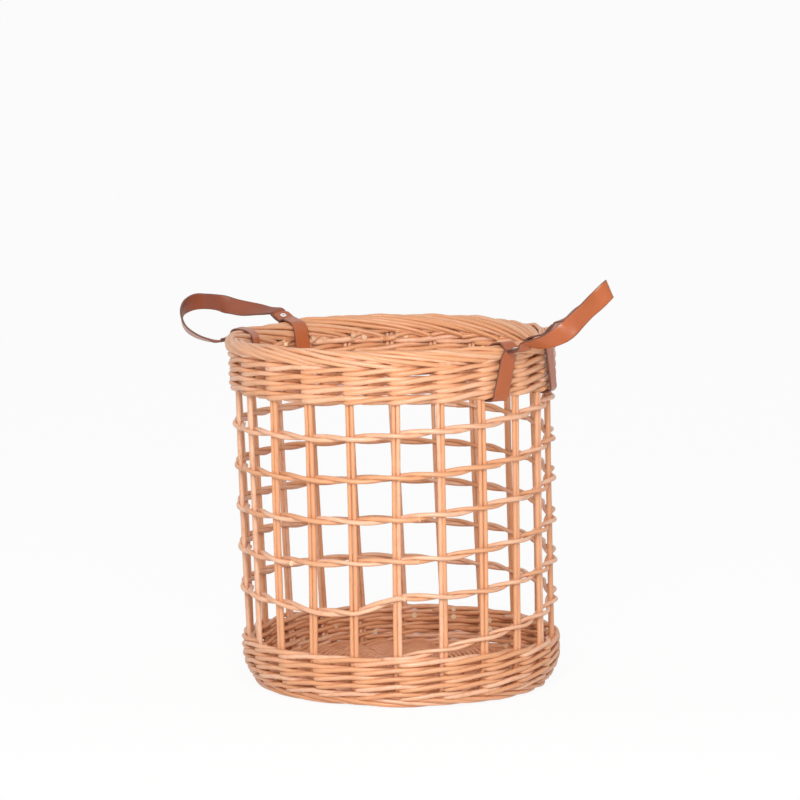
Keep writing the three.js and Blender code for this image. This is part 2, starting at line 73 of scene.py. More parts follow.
def willow_grain_group():
    """Colour and height of peeled willow: streaks along the rod, darker bud scars and patches."""
    group = bpy.data.node_groups.new("willow_grain", "ShaderNodeTree")
    for way, kind, names in [
            ("INPUT", "Color", ("Light", "Tan", "Brown")), ("INPUT", "Float", ("Rod", "Length")),
            ("OUTPUT", "Color", ("Color",)), ("OUTPUT", "Float", ("Height", "Roughness"))]:
        for name in names:
            group.interface.new_socket(name, in_out=way, socket_type=f"NodeSocket{kind}")
    nodes, links = group.nodes, group.links
    given = nodes.new("NodeGroupInput")
    out = nodes.new("NodeGroupOutput")
    uv = nodes.new("ShaderNodeUVMap")
    uv.uv_map = "UVMap"
    split = nodes.new("ShaderNodeSeparateXYZ")
    links.new(uv.outputs["UV"], split.inputs[0])

    def math(operation, first, second=None):
        """A sum of two sockets or numbers, or a function of one."""
        node = nodes.new("ShaderNodeMath")
        node.operation = operation
        for socket, value in zip(node.inputs, (first, second)):
            if isinstance(value, (int, float)):
                socket.default_value = value
            elif value is not None:
                links.new(value, socket)
        return node.outputs[0]

    def noise(along, around, detail):
        """Noise that is stretched along the rod, closes round it and differs from rod to rod."""
        place = nodes.new("ShaderNodeCombineXYZ")
        run = math("MULTIPLY", split.outputs["X"], math("MULTIPLY", given.outputs["Length"], along))
        links.new(math("ADD", run, math("MULTIPLY", given.outputs["Rod"], 37.0)), place.inputs[0])
        turn = math("MULTIPLY", split.outputs["Y"], 2 * pi)
        links.new(math("MULTIPLY", math("COSINE", turn), around), place.inputs[1])
        links.new(math("MULTIPLY", math("SINE", turn), around), place.inputs[2])
        node = nodes.new("ShaderNodeTexNoise")
        node.inputs["Detail"].default_value = detail
        node.inputs["Scale"].default_value = 1.0
        links.new(place.outputs[0], node.inputs["Vector"])
        return node.outputs["Fac"]

    def mix(factor, first, second):
        """One colour laid over another by a factor."""
        node = nodes.new("ShaderNodeMix")
        node.data_type = "RGBA"
        for socket, value in zip((node.inputs[0], node.inputs[6], node.inputs[7]), (factor, first, second)):
            links.new(value, socket)
        return node.outputs[2]

    def between(value, low, high):
        """Nought below the low value and one above the high one, with a smooth step."""
        node = nodes.new("ShaderNodeMapRange")
        node.interpolation_type = "SMOOTHSTEP"
        node.inputs[1].default_value = low
        node.inputs[2].default_value = high
        links.new(value, node.inputs[0])
        return node.outputs[0]

    streaks = noise(9.0, 2.6, 4.0)
    patches = noise(11.0, 0.7, 2.0)
    scars = noise(55.0, 1.3, 1.0)
    rod_shade = mix(between(given.outputs["Rod"], 0.05, 0.75), given.outputs["Light"], given.outputs["Tan"])
    patched = mix(math("MULTIPLY", between(patches, 0.45, 0.72), 0.6), rod_shade, given.outputs["Tan"])
    streaked = mix(math("MULTIPLY", between(streaks, 0.5, 0.8), 0.5), patched, given.outputs["Brown"])
    scarred = mix(math("MULTIPLY", between(scars, 0.76, 0.84), 0.75), streaked, given.outputs["Brown"])
    links.new(scarred, out.inputs["Color"])
    height = math("ADD", math("MULTIPLY", streaks, 0.7), math("MULTIPLY", scars, 0.3))
    links.new(height, out.inputs["Height"])
    links.new(math("ADD", 0.27, math("MULTIPLY", patches, 0.24)), out.inputs["Roughness"])
    return group


WILLOW_GRAIN = willow_grain_group()


def new_finish(name):
    """A new material, with its nodes, its links and its shader."""
    material = bpy.data.materials.new(name)
    material.use_nodes = True
    nodes, links = material.node_tree.nodes, material.node_tree.links
    return material, nodes, links, nodes["Principled BSDF"]


def willow_material(name, light, tan, brown, length):
    """A satin willow finish; length is about how many tenths of a metre one rod of the piece is long."""
    material, nodes, links, shader = new_finish(name)
    grain = nodes.new("ShaderNodeGroup")
    grain.node_tree = WILLOW_GRAIN
    grain.inputs["Light"].default_value = light
    grain.inputs["Tan"].default_value = tan
    grain.inputs["Brown"].default_value = brown
    grain.inputs["Length"].default_value = length
    geometry = nodes.new("ShaderNodeNewGeometry")
    links.new(geometry.outputs["Random Per Island"], grain.inputs["Rod"])
    bump = nodes.new("ShaderNodeBump")
    bump.inputs["Strength"].default_value = 0.25
    bump.inputs["Distance"].default_value = 0.0004
    links.new(grain.outputs["Height"], bump.inputs["Height"])
    links.new(grain.outputs["Color"], shader.inputs["Base Color"])
    links.new(grain.outputs["Roughness"], shader.inputs["Roughness"])
    links.new(bump.outputs["Normal"], shader.inputs["Normal"])
    shader.inputs["Specular IOR Level"].default_value = 0.6
    return material


def cut_end_material():
    """The pale cut face of a rod, with darker pores."""
    material, nodes, links, shader = new_finish("cut_willow")
    place = nodes.new("ShaderNodeTexCoord")
    rings = nodes.new("ShaderNodeTexNoise")
    rings.inputs["Scale"].default_value = 900
    ramp = nodes.new("ShaderNodeValToRGB")
    ramp.color_ramp.elements[0].color = (0.5, 0.27, 0.13, 1)
    ramp.color_ramp.elements[1].color = (0.9, 0.68, 0.46, 1)
    ramp.color_ramp.elements[1].position = 0.55
    links.new(place.outputs["Object"], rings.inputs["Vector"])
    links.new(rings.outputs["Fac"], ramp.inputs["Fac"])
    links.new(ramp.outputs["Color"], shader.inputs["Base Color"])
    shader.inputs["Roughness"].default_value = 0.75
    return material


CUT_WILLOW = cut_end_material()


def polar(angle, radius, height):
    """A place from its angle round the basket, its radius and its height."""
    return Vector((radius * cos(angle), radius * sin(angle), height))


def leaned(place):
    """The basket leans a little: each level is shifted sideways in proportion to its height."""
    return place + polar(LEAN_DIRECTION, RIM_SHIFT / BASKET_HEIGHT * place.z, 0)


def smooth(share):
    """A share from nought to one, eased at both ends."""
    share = min(max(share, 0), 1)
    return share * share * (3 - 2 * share)


def pick_only(piece):
    """Select one piece alone, ready for the operators."""
    bpy.ops.object.select_all(action="DESELECT")
    piece.select_set(True)
    bpy.context.view_layer.objects.active = piece


def willow_piece(name, rods, material, sides, replaced):
    """One piece of many rods. A rod is its points and its radius at each; its ends are cut faces."""
    data = bpy.data.curves.new(name, "CURVE")
    data.dimensions = "3D"
    data.bevel_depth = 1
    data.bevel_resolution = (sides - 4) // 2
    data.use_fill_caps = True
    for points, radii in rods:
        rod = data.splines.new("POLY")
        rod.points.add(len(points) - 1)
        rod.use_smooth = True
        for station, point, radius in zip(rod.points, points, radii):
            station.co = (*leaned(point), 1)
            station.radius = radius
    piece = bpy.data.objects.new(name, data)
    bpy.context.collection.objects.link(piece)
    pick_only(piece)
    bpy.ops.object.convert(target="MESH")
    bpy.ops.object.mode_set(mode="EDIT")
    bpy.ops.mesh.select_all(action="SELECT")
    bpy.ops.mesh.remove_doubles(threshold=0.000001)
    bpy.ops.mesh.normals_make_consistent(inside=False)
    bpy.ops.object.mode_set(mode="OBJECT")
    piece.data.materials.clear()
    piece.data.materials.append(material)
    piece.data.materials.append(CUT_WILLOW)
    for face in piece.data.polygons:
        is_cap = len(face.vertices) == 3
        face.material_index = 1 if is_cap else 0
        face.use_smooth = not is_cap
    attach(piece, "basket")
    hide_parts(*replaced)


def crossed_stick(middle, spread, offset):
    """A stick that lies straight in the crossing and fans out by the same angle at both ends."""
    points = []
    for step in range(-STICK_STEPS, STICK_STEPS + 1):
        reach = abs(step) / STICK_STEPS * STICK_REACH
        way = middle if step >= 0 else middle + pi
        turn = spread if step >= 0 else -spread
        level = polar(way, reach, 0) + polar(middle + pi / 2, offset, 0)
        fanned = polar(way + turn, reach, 0)
        share = smooth((reach - STICK_STRAIGHT) / STICK_FANNING)
        points.append(level.lerp(fanned, share) + Vector((0, 0, STICK_HEIGHT)))
    return points, [STICK_RADIUS] * len(points)


sticks = []
for count, middle in STICK_GROUPS:
    for i in range(count):
        from_middle = i - (count - 1) / 2
        sticks.append(crossed_stick(middle * PITCH, from_middle * PITCH, from_middle * STICK_SPACING))
stick_willow = willow_material("stick_willow", PEELED_TAN, PEELED_BROWN, PEELED_BROWN, 3)
willow_piece("base_sticks_fanned", sticks, stick_willow, 8, ["base_sticks"])

# Base weave
# Thin rods are paired round the spokes in close rounds: at each spoke one rod lies over it and one
# under it, and they cross between spokes. It is worked from the crossing out to the foot.
BASE_ROD_RADIUS = 0.00215
BASE_FIRST_ROUND = 0.03
BASE_LAST_ROUND = 0.1435
BASE_ROUNDS = 17
BASE_STEPS = 6
BASE_SPREAD = 1.25
BASE_WANDER = 0.0004
BASE_LIFT = STICK_RADIUS + BASE_ROD_RADIUS
TYING_RADII = (0.0185, 0.0221, 0.0257)
TYING_STEPS = 48
BASE_TAN = (0.66, 0.29, 0.15, 1)
base_chance = random.Random(11)


def paired_round(radius, side):
    """One rod of a pair in a full round, over every second spoke and under the others."""
    thick = BASE_ROD_RADIUS * base_chance.uniform(0.92, 1.08)
    wander = base_chance.uniform(0, 2 * pi)
    points = []
    for step in range(PAIR_COUNT * BASE_STEPS + 1):
        angle = step / BASE_STEPS * PITCH
        phase = pi * step / BASE_STEPS
        across = radius + side * thick * BASE_SPREAD * sin(phase) + BASE_WANDER * sin(3 * angle + wander)
        points.append(polar(angle, across, STICK_HEIGHT + side * BASE_LIFT * cos(phase)))
    return points, [thick] * len(points)


def tying_round(radius, side):
    """One rod of a pair round the crossing itself, over one group of sticks and under the other."""
    points = []
    for step in range(TYING_STEPS + 1):
        share = step / TYING_STEPS
        lift = BASE_LIFT * cos(4 * pi * share)
        points.append(polar(STICK_GROUPS[0][1] * PITCH + 2 * pi * share, radius, STICK_HEIGHT + side * lift))
    return points, [BASE_ROD_RADIUS] * len(points)


base_rods = []
for row in range(BASE_ROUNDS):
    radius = BASE_FIRST_ROUND + (BASE_LAST_ROUND - BASE_FIRST_ROUND) * row / (BASE_ROUNDS - 1)
    base_rods += [paired_round(radius, side) for side in (-1, 1)]
base_rods += [tying_round(radius, side) for radius in TYING_RADII for side in (-1, 1)]
base_willow = willow_material("base_willow", PEELED_TAN, BASE_TAN, PEELED_BROWN, 4)
willow_piece("base_weave_rounds", base_rods, base_willow, 6, ["base_weave"])

# Upright stakes
# Peeled willow rods about 5 mm thick stand in pairs, side by side, from the foot to the rim. The
# bands are woven round them, and they lean and bow a little, as hand-set rods do.
STAKE_RADIUS = 0.0025
STAKE_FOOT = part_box("stake_pair_01")[0].z
STAKE_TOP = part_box("stake_pair_01")[1].z + 0.004
LOW_BAND_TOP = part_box("bottom_wale_band")[1].z
TOP_BAND_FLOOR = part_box("top_wale_band")[0].z
CIRCLE_LOW = 0.1665
CIRCLE_HIGH = 0.1698
FOOT_INSET = 0.0085
FOOT_BEND = 0.026
STAKE_LEAN = 0.0016
STAKE_BOW = 0.0012
STAKE_STEPS = 14
WALL_TWIST = radians(1.6)
stake_chance = random.Random(5)


def stake_circle(height):
    """The radius of the circle that the stakes stand on, drawn in at the foot."""
    share = (height - LOW_BAND_TOP) / (STAKE_TOP - LOW_BAND_TOP)
    inset = FOOT_INSET * max(1 - (height - STAKE_FOOT) / FOOT_BEND, 0) ** 2
    return CIRCLE_LOW + (CIRCLE_HIGH - CIRCLE_LOW) * share - inset


def stake_pair(pair):
    """Two rods side by side, which lean together and lie a little across each other in the open wall."""
    lean = stake_chance.uniform(-STAKE_LEAN, STAKE_LEAN)
    rods = []
    for side in (-1, 1):
        thick = STAKE_RADIUS * stake_chance.uniform(0.9, 1.1)
        bow = stake_chance.uniform(-STAKE_BOW, STAKE_BOW)
        inward = side * stake_chance.uniform(-STAKE_BOW, STAKE_BOW)
        points, radii = [], []
        for step in range(STAKE_STEPS + 1):
            share = step / STAKE_STEPS
            height = STAKE_FOOT + (STAKE_TOP - STAKE_FOOT) * share ** 1.3
            open_wall = max(min((height - LOW_BAND_TOP) / (TOP_BAND_FLOOR - LOW_BAND_TOP), 1), 0)
            sideways = side * thick * 0.98 + lean * (open_wall - 0.5) + bow * sin(pi * open_wall)
            radius = stake_circle(height) + inward * sin(pi * open_wall)
            turned = WALL_TWIST * (open_wall - 0.5)
            points.append(polar((pair + 0.5) * PITCH + turned + sideways / radius, radius, height))
            radii.append(thick * (1.04 - 0.1 * share))
        rods.append((points, radii))
    return rods


stakes = [rod for pair in range(PAIR_COUNT) for rod in stake_pair(pair)]
stake_willow = willow_material("stake_willow", PEELED_LIGHT, PEELED_TAN, PEELED_BROWN, 4)
willow_piece("upright_stakes", stakes, stake_willow, 10,
             [f"stake_pair_{i:02d}" for i in range(1, PAIR_COUNT + 1)])

# Foot border
# The stakes' lower ends are rolled over each other into a rope-like ring, which the basket stands
# on. Each pair comes out under the band, runs down the outside and tucks in underneath.
FOOT_ROD_RADIUS = 0.0025
FOOT_ROD_SPREAD = 0.0021
FOOT_ROD_SINKING = 0.0006
FOOT_OUTSIDE = 0.1615
FOOT_ROUTE = [(0.0, -0.0045, 0.0165), (0.4, -0.0031, 0.0126), (0.9, -0.0026, 0.0097), (1.4, -0.0030, 0.0074),
              (1.9, -0.0045, 0.0055), (2.4, -0.0078, 0.0043), (2.9, -0.0118, 0.0049), (3.3, -0.0130, 0.0092)]
ROD_RISING = 0.0006
ROD_CROSSING = 0.0006
ROD_SLACK = 0.17


def through(places, steps):
    """A smooth run of points through a few places, each a tuple of as many numbers."""
    run = []
    for i in range(len(places) - 1):
        before, start = places[max(i - 1, 0)], places[i]
        end, after = places[i + 1], places[min(i + 2, len(places) - 1)]
        for step in range(steps + (i == len(places) - 2)):
            t = step / steps
            run.append(tuple(
                b + 0.5 * t * (c - a + t * (2 * a - 5 * b + 4 * c - d + t * (3 * (b - c) + d - a)))
                for a, b, c, d in zip(before, start, end, after)))
    return run


def rolled_rods(route, outside, rod_radius, spread, sinking, chance):
    """Pairs of stake ends on one route of (stakes along, outwards, height), with one rod over the other."""
    run = through(route, 4)
    rods = []
    for pair in range(PAIR_COUNT):
        slack = chance.uniform(-ROD_SLACK, ROD_SLACK)
        for side in (-1, 1):
            thick = rod_radius * chance.uniform(0.86, 1.12)
            lift = chance.uniform(-sinking, ROD_RISING)
            shorter = chance.randrange(2)
            points = []
            for i, (along, outwards, height) in enumerate(run[:len(run) - shorter]):
                before, after = run[max(i - 1, 0)], run[min(i + 1, len(run) - 1)]
                way = Vector((after[1] - before[1], after[2] - before[2])).normalized()
                outwards += side * (spread * way.x - ROD_CROSSING * way.y)
                height += side * (spread * way.y + ROD_CROSSING * way.x) + lift
                points.append(polar((pair + 0.5 + along + slack) * PITCH, outside + outwards, height))
            rods.append((points, [thick] * len(points)))
    return rods


foot_willow = willow_material("foot_willow", PEELED_LIGHT, PEELED_TAN, PEELED_BROWN, 1.6)
foot_rods = rolled_rods(
    FOOT_ROUTE, FOOT_OUTSIDE, FOOT_ROD_RADIUS, FOOT_ROD_SPREAD, FOOT_ROD_SINKING, random.Random(23))
willow_piece("foot_border_rolled", foot_rods, foot_willow, 8, ["foot_border"])

# Wale bands
# Three rods are worked together, each in front of two stake pairs and behind one, so every stroke
# rises over the next. The bottom band draws in to the foot, and the top band carries the rim.
WALE_STEPS = 6
WALE_ROUND = 3 * PAIR_COUNT
WALE_ROWS = 5
WALE_STARTS = (-0.5, 2.5, 5.5)
WALE_RUNS = (9, 12, 15)
WALE_DIP = 0.0007
BUTT_STANDOFF = 0.0034
BUTT_SWELLING = 1.12
LOW_BAND_DROP = 0.003
LOW_BAND_FULLNESS = 1.12
TOP_BAND_LIFT = 0.0075
TOP_BAND_FULLNESS = 1.16
TOP_BAND_RISE = 0.0035
RISEN_SIDE = radians(-8)
REAR_JOINS = [5.5, 29.5, 50.5]


def wale_rod(first, last, floor, quarter, fullness, chance):
    """A rod of a row, from one stake to another along its three turns, with its butt end inside."""
    points, radii = [], []
    thick = quarter * fullness * chance.uniform(0.88, 1.1)
    taper = chance.uniform(-0.1, 0.1)
    dips = [chance.uniform(-WALE_DIP, WALE_DIP) for _ in range(int(last - first) + 3)]
    steps = (last - first) * WALE_STEPS
    for step in range(int(steps) + 1):
        along = first + step / WALE_STEPS
        stake, share = divmod(along - first, 1)
        dip = dips[int(stake)] * (1 - smooth(share)) + dips[int(stake) + 1] * smooth(share)
        place = along % 3
        rise = smooth(place - 0.5) if place < 2 else 1 - smooth(place - 2)
        height = floor(along * PITCH) + quarter * (1 + 2 * rise) + dip
        swing = 1 if 0.5 <= place <= 1.5 else cos(pi * (place - 1.5))
        radius = stake_circle(height) + (STAKE_RADIUS + quarter * 1.1) * swing
        points.append(polar(along * PITCH, radius, height))
        radii.append(thick * (1 + taper * (2 * step / steps - 1)))
    butt = points[0] - polar(first * PITCH, BUTT_STANDOFF, 0) + (points[0] - points[1]) * 0.2
    return [butt] + points, [radii[0] * BUTT_SWELLING] + radii


def wale_band(name, node, low, high, uneven, fullness, joined_row, chance):
    """Rows of wale. Each row's rods start and end behind a stake, where one takes over from another."""
    row_height = (high - low) / WALE_ROWS
    rods = []
    for row in range(WALE_ROWS):
        first = chance.choice(WALE_STARTS)
        start = first

        def floor(angle):
            """How high the row lies; a band may rise on one side, most in its lowest row."""
            rise = uneven * max(cos(angle - RISEN_SIDE), 0) ** 2
            return low + row * row_height + rise * (1 - row / WALE_ROWS)

        while start < first + WALE_ROUND:
            run = chance.choice(WALE_RUNS)
            if row == joined_row:
                run = min([place - start for place in REAR_JOINS if place > start] + [run + WALE_RUNS[0]])
            end = min(start + run, first + WALE_ROUND)
            rods.append(wale_rod(start - 0.3, end + 0.25, floor, row_height / 4, fullness, chance))
            start = end
    willow_piece(name, rods, band_willow, 10, [node])


band_willow = willow_material("band_willow", PEELED_LIGHT, PEELED_TAN, PEELED_BROWN, 5)
low_band_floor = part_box("bottom_wale_band")[0].z - LOW_BAND_DROP
top_band_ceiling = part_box("top_wale_band")[1].z + TOP_BAND_LIFT
wale_band("bottom_wale", "bottom_wale_band", low_band_floor, LOW_BAND_TOP, 0, LOW_BAND_FULLNESS, None,
          random.Random(31))
wale_band("top_wale", "top_wale_band", TOP_BAND_FLOOR, top_band_ceiling, TOP_BAND_RISE, TOP_BAND_FULLNESS, 1,
          random.Random(47))

# Fitching
# Two rods twist round each other once for every two stake pairs and climb the open wall in a long
# spiral. They start steeply from the bottom band at the front right and end under the top band.
FITCH_RADIUS = 0.00235
FITCH_GAPS = 115
FITCH_START = -3 * PITCH
FITCH_FRONT = -3.5 * PITCH
FITCH_EASE = 5 * PITCH
FITCH_CROSSING = FITCH_RADIUS * 0.88
FITCH_SWING = STAKE_RADIUS + FITCH_RADIUS
FITCH_FLOOR = LOW_BAND_TOP + 0.0048
FITCH_CEILING = TOP_BAND_FLOOR - 0.006
FITCH_STEEP = 0.012
FITCH_SWAY = 0.0042
FITCH_REAR_RISE = 0.0085
FITCH_DIP = 0.00065
FITCH_STEPS = 8
FITCH_JOINS = {-1: [0, 21.7, 44, 66, 90, FITCH_GAPS], 1: [0, 22.7, 41, 73, 97, FITCH_GAPS]}
FITCH_OVERLAP = 0.9
FITCH_BUTT = 0.0016
FITCH_KINK = 0.0014
LARGE_KINKS = {18: -0.0015, 19: -0.003, 20: -0.008, 21: -0.0095, 22: 0.006, 23: 0.002}
fitch_chance = random.Random(61)
fitch_kinks = [fitch_chance.uniform(-FITCH_KINK, FITCH_KINK) for _ in range(FITCH_GAPS + 2)]
for stake, kink in LARGE_KINKS.items():
    fitch_kinks[stake] = kink


def fitch_sway(angle):
    """How far the rounds stand above an even spiral: they rise at the rear and on one side."""
    from_front = angle - FITCH_FRONT
    return (FITCH_SWAY * sin(from_front) - FITCH_REAR_RISE * cos(from_front)
            - FITCH_DIP * cos(2 * from_front))


def fitch_height(gaps):
    """The spiral's height after so many gaps between stakes, steep at first and kinked at stakes."""
    angle = FITCH_START + gaps * PITCH
    sway = fitch_sway(angle) - fitch_sway(FITCH_START)
    last_sway = fitch_sway(FITCH_START + FITCH_GAPS * PITCH) - fitch_sway(FITCH_START)
    steady = FITCH_CEILING - FITCH_FLOOR - last_sway - FITCH_STEEP
    steep = FITCH_STEEP * (1 - max(1 - gaps * PITCH / FITCH_EASE, 0) ** 2)
    stake = int(max(gaps, 0) + 0.5)
    kink = fitch_kinks[stake] + (fitch_kinks[stake + 1] - fitch_kinks[stake]) * (gaps + 0.5 - stake)
    open_ends = smooth(max(gaps, 0) / 3) * smooth((FITCH_GAPS - gaps) / 3)
    return FITCH_FLOOR + steady * gaps / FITCH_GAPS + sway + steep + kink * open_ends


def fitch_rod(first, last, side):
    """A stretch of one of the two rods; its thick butt end lies outside, cut at a slant."""
    points, radii = [], []
    thick = FITCH_RADIUS * fitch_chance.uniform(0.94, 1.1)
    count = int((last - first) * FITCH_STEPS)
    for step in range(count + 1):
        gaps = first + step / FITCH_STEPS
        phase = pi * gaps
        height = fitch_height(gaps) + side * FITCH_CROSSING * cos(phase)
        radius = stake_circle(height) + side * FITCH_SWING * sin(phase)
        points.append(polar(FITCH_START + gaps * PITCH, radius, height))
        radii.append(thick * (0.86 + 0.22 * step / count))
    outward = polar(FITCH_START + last * PITCH, FITCH_BUTT, 0)
    points.append(points[-1] + outward + (points[-1] - points[-2]) * 0.25)
    radii.append(radii[-1])
    return points, radii


fitch_rods = []
for side, joins in FITCH_JOINS.items():
    for start, end in zip(joins, joins[1:]):
        fitch_rods.append(fitch_rod(start - FITCH_OVERLAP, end, side))
fitch_willow = willow_material("fitch_willow", PEELED_LIGHT, PEELED_TAN, PEELED_BROWN, 8)
willow_piece("fitching", fitch_rods, fitch_willow, 10,
             [f"fitch_round_{r}{s}" for r in range(1, 6) for s in "ab"])

# Rolled border
# The stakes' upper ends are bent over to the right, one pair over another: up inside the rim, over
# the top, down the outside past three pairs, and back in under the border, where they are cut.
BORDER_ROD_RADIUS = 0.0025
BORDER_ROD_SPREAD = 0.0022
BORDER_ROD_SINKING = 0.0018
# The border's lightest tone is darker than the stakes' own, though the border is made of the stakes' ends:
# painted shade on the basket's top.
BORDER_LIGHT_PAINTED_SHADE = (0.76, 0.42, 0.25, 1)
RIM_OUTSIDE = 0.18
RIM_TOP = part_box("rolled_border")[1].z
BORDER_ROUTE = [(0.0, -0.0105, -0.0260), (0.3, -0.0150, -0.0206), (0.8, -0.0184, -0.0154),
                (1.4, -0.0188, -0.0108), (2.0, -0.0166, -0.0068), (2.6, -0.0120, -0.0042),
                (3.1, -0.0076, -0.0028), (3.6, -0.0042, -0.0050), (4.1, -0.0026, -0.0076),
                (4.6, -0.0024, -0.0104), (5.0, -0.0036, -0.0132), (5.35, -0.0076, -0.0160),
                (5.7, -0.0140, -0.0186), (6.0, -0.0208, -0.0212)]
BORDER_SAGS = [(radians(-57.3), 0.003), (radians(195), 0.003), (radians(118), -0.0016)]
border_route = [(along, outwards, RIM_TOP + height) for along, outwards, height in BORDER_ROUTE]
border_rods = rolled_rods(
    border_route, RIM_OUTSIDE, BORDER_ROD_RADIUS, BORDER_ROD_SPREAD, BORDER_ROD_SINKING, random.Random(83))
for points, _ in border_rods:
    for point in points:
        for angle, sag in BORDER_SAGS:
            point.z -= sag * max(cos(atan2(point.y, point.x) - angle), 0) ** 3
# The border's willow carries painted shade: its lightest rods are darker than the same rods in the wall.
border_willow_painted_shade = willow_material("border_willow_painted_shade", BORDER_LIGHT_PAINTED_SHADE, PEELED_TAN, PEELED_BROWN, 2.2)
willow_piece("rolled_border_rim", border_rods, border_willow_painted_shade, 10, ["rolled_border"])

# Strap handles
# Each handle is one strap of chestnut leather, 20 mm wide and 2 mm thick. Both ends go round the
# top band and over the border, and are riveted to the strap where it leaves the rim.
STRAP_HALF_WIDTH = 0.01
STRAP_HALF_THICKNESS = 0.001
STRAP_EDGE_ROUNDING = 0.0006
STRAP_COLUMNS = 24
STRAP_EDGE_COLUMNS = 4
STRAP_FLAT_COLUMNS = STRAP_COLUMNS // 2 - STRAP_EDGE_COLUMNS
STRAP_STEP = 0.0022
STRAP_TIP = 0.0035
STRAP_TIP_STEPS = 8
STRAP_TAIL = 0.0078
LUG_REACHES = (0.004, 0, -0.005)
LAYER_OFFSET = 0.00115
STRAP_OUTSIDE = 0.0019
STRAP_INSIDE = -0.0235
STRAP_UNDER = TOP_BAND_FLOOR - 0.0016
STRAP_SIDE = -0.023
BEND_OVER = [(0.0141, 0), (0.006, -0.0024), (0.0015, -0.0075), (0, -0.0155)]
BEND_UNDER_INSIDE = [(0.0005, 0.008), (0.0015, 0.003), (0.0045, 0.0004), (0.009, 0)]
BEND_UNDER_OUTSIDE = [(-0.008, 0), (-0.003, 0.0008), (-0.0005, 0.004), (0, 0.009)]
GRAIN_SIDE = (0.44, 0.11, 0.03, 1)
GRAIN_DARK = (0.37, 0.089, 0.024, 1)
FLESH_SIDE = (0.29, 0.074, 0.031, 1)
FLESH_DARK = (0.22, 0.054, 0.022, 1)
# The cut edge's colour is partly the edge's own darker brown and partly painted shade, for the shadow that
# lies along the strap's rounded edges.
STRAP_EDGE_AND_SHADE = (0.2, 0.068, 0.038, 1)
STRAP_EDGE_AND_SHADE_DARK = (0.08, 0.028, 0.017, 1)
# A rivet and each place of a grip are given in mm out from the rim, degrees along it and mm up from
# its top. Slopes, rolls and drifts are in degrees, and a loop's other places in mm. Each place of a
# grip comes with the way that the strap's width lies there.
HANDLES = {
    "right": {
        "side": 1,
        "near": {"rivet": (8.3, -13.2, -7), "slope": 10, "roll": 0, "drift": -5.8, "room": 1.2,
                 "over": [(-4, 0.2)], "above": 0.2, "under": 3.3, "outside": [-17]},
        "far": {"rivet": (5, 9.8, 7.5), "slope": 48, "roll": 0, "drift": 4.6, "room": 0.9,
                "over": [], "above": 1.6, "under": 3, "outside": [-3.5]},
        "grip": [
            ((17, -14.3, -1), (0.14, 0.96, -0.24)),
            ((30.5, -14.2, 1.5), (0.07, 0.83, -0.55)),
            ((42.5, -13.7, 5), (0.1, 0.73, -0.68)),
            ((52, -12.7, 9.5), (0.26, 0.56, -0.79)),
            ((62, -11.3, 16.5), (0.59, 0.26, -0.77)),
            ((72, -9.3, 28), (0.43, 0.56, -0.71)),
            ((79.5, -6.5, 38.5), (0.32, 0.54, -0.78)),
            ((84.5, -2.5, 47.5), (0.53, 0.38, -0.76)),
            ((91, 1.5, 58.5), (0.32, 0.2, -0.93)),
            ((75, 5.5, 49.5), (0.48, -0.08, -0.87)),
            ((48.5, 9.8, 33), (0.22, -0.46, -0.86)),
            ((29, 11.8, 27), (0.09, -0.85, -0.52)),
            ((18.5, 10.8, 20), (0.08, -0.97, -0.22)),
        ],
    },
    "left": {
        "side": -1,
        "near": {"rivet": (7.97, -14.48, -14), "slope": -14, "roll": 0, "drift": 0, "room": 2,
                 "over": [(2.6, -9), (1.8, -5.6), (-0.6, -3.3), (-4, -2.7)], "above": -3, "under": 0,
                 "outside": [-18.5]},
        "far": {"rivet": (7, 17, 1), "slope": 25, "roll": -12, "drift": -1.6, "room": 0.9,
                "over": [(-4, -0.2)], "above": -1.6, "under": 0, "outside": [-10]},
        "grip": [
            ((19, -15.9, -17), (0.01, 0.99, -0.17)),
            ((33, -15.2, -16), (-0.17, 0.9, -0.39)),
            ((48, -13.7, -13.5), (-0.23, 0.79, -0.57)),
            ((64.5, -10.8, -10), (-0.22, 0.63, -0.74)),
            ((80.5, -6.8, -5), (-0.08, 0.42, -0.91)),
            ((99, 0, 2.5), (0.11, 0.23, -0.97)),
            ((112, 8, 9.5), (0.29, 0.17, -0.94)),
            ((110, 13.5, 13.5), (0.22, 0.23, -0.95)),
            ((101.5, 16.5, 13.5), (0.25, 0.34, -0.91)),
            ((88.5, 17.6, 12.5), (0.16, 0.26, -0.95)),
            ((70.5, 18, 9.5), (0.1, -0.54, -0.83)),
            ((54, 18, 7.5), (0.05, -0.65, -0.76)),
            ((35, 18, 7), (0.02, -0.85, -0.53)),
            ((23, 18, 6.5), (0.1, -0.94, -0.33)),
        ],
    },
}


def by_the_rim(side, place):
    """A place of a grip, on the level that touches the rim's outermost point on the handle's side."""
    out, turned, up = place
    return Vector((side * (RIM_OUTSIDE + out / 1000), RIM_OUTSIDE * radians(turned), RIM_TOP + up / 1000))


def lug(side, fixing):
    """A rivet's centre, and the ways across the strap, out along it and square to its layers."""
    out, turned, up = fixing["rivet"]
    centre = polar(radians(turned), RIM_OUTSIDE + out / 1000, RIM_TOP + up / 1000)
    centre.x *= side
    level = Vector((centre.x, centre.y, 0)).normalized()
    across = Vector((0, 0, 1)).cross(level)
    slope = radians(fixing["slope"])
    along = level * cos(slope) + Vector((0, 0, sin(slope)))
    upper = Vector((0, 0, cos(slope))) - level * sin(slope)
    roll = radians(fixing["roll"])
    return centre, across * cos(roll) + upper * sin(roll), along, upper * cos(roll) - across * sin(roll)


